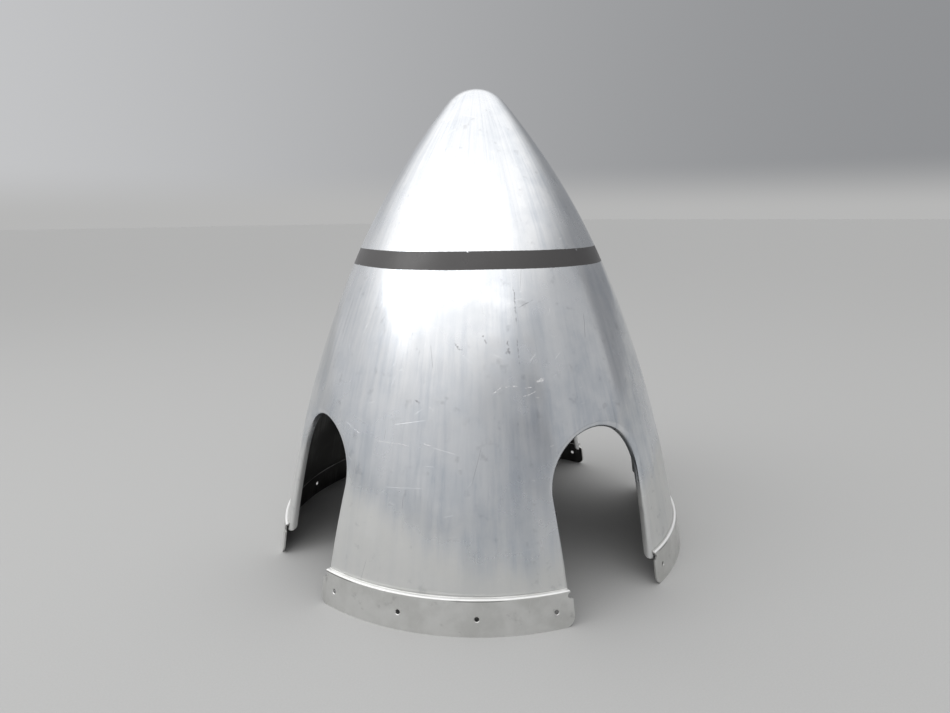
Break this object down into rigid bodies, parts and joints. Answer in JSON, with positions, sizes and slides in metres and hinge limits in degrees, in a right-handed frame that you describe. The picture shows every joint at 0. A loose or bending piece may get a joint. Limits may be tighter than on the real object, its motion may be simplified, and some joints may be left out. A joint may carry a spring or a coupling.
{
  "type": "propeller spinner",
  "caption": "Pointed aluminium nose dome that covers a propeller hub, with arched blade cutouts and a stepped screw skirt.",
  "frame": {"origin": "on the spin axis, in the plane of the skirt's bottom edge", "axes": "+Z along the spin axis towards the nose; the blade cutouts are centred on +X, +Y, -X and -Y"},
  "size_m": [0.492, 0.492, 0.5365],
  "materials": {
    "polished_aluminium": "polished spun aluminium with fine streaks and scuffs, satin at the skirt, with one narrow worn dark painted stripe"
  },
  "bodies": {
    "root": {"spinner_dome": "polished_aluminium"}
  },
  "joints": []
}
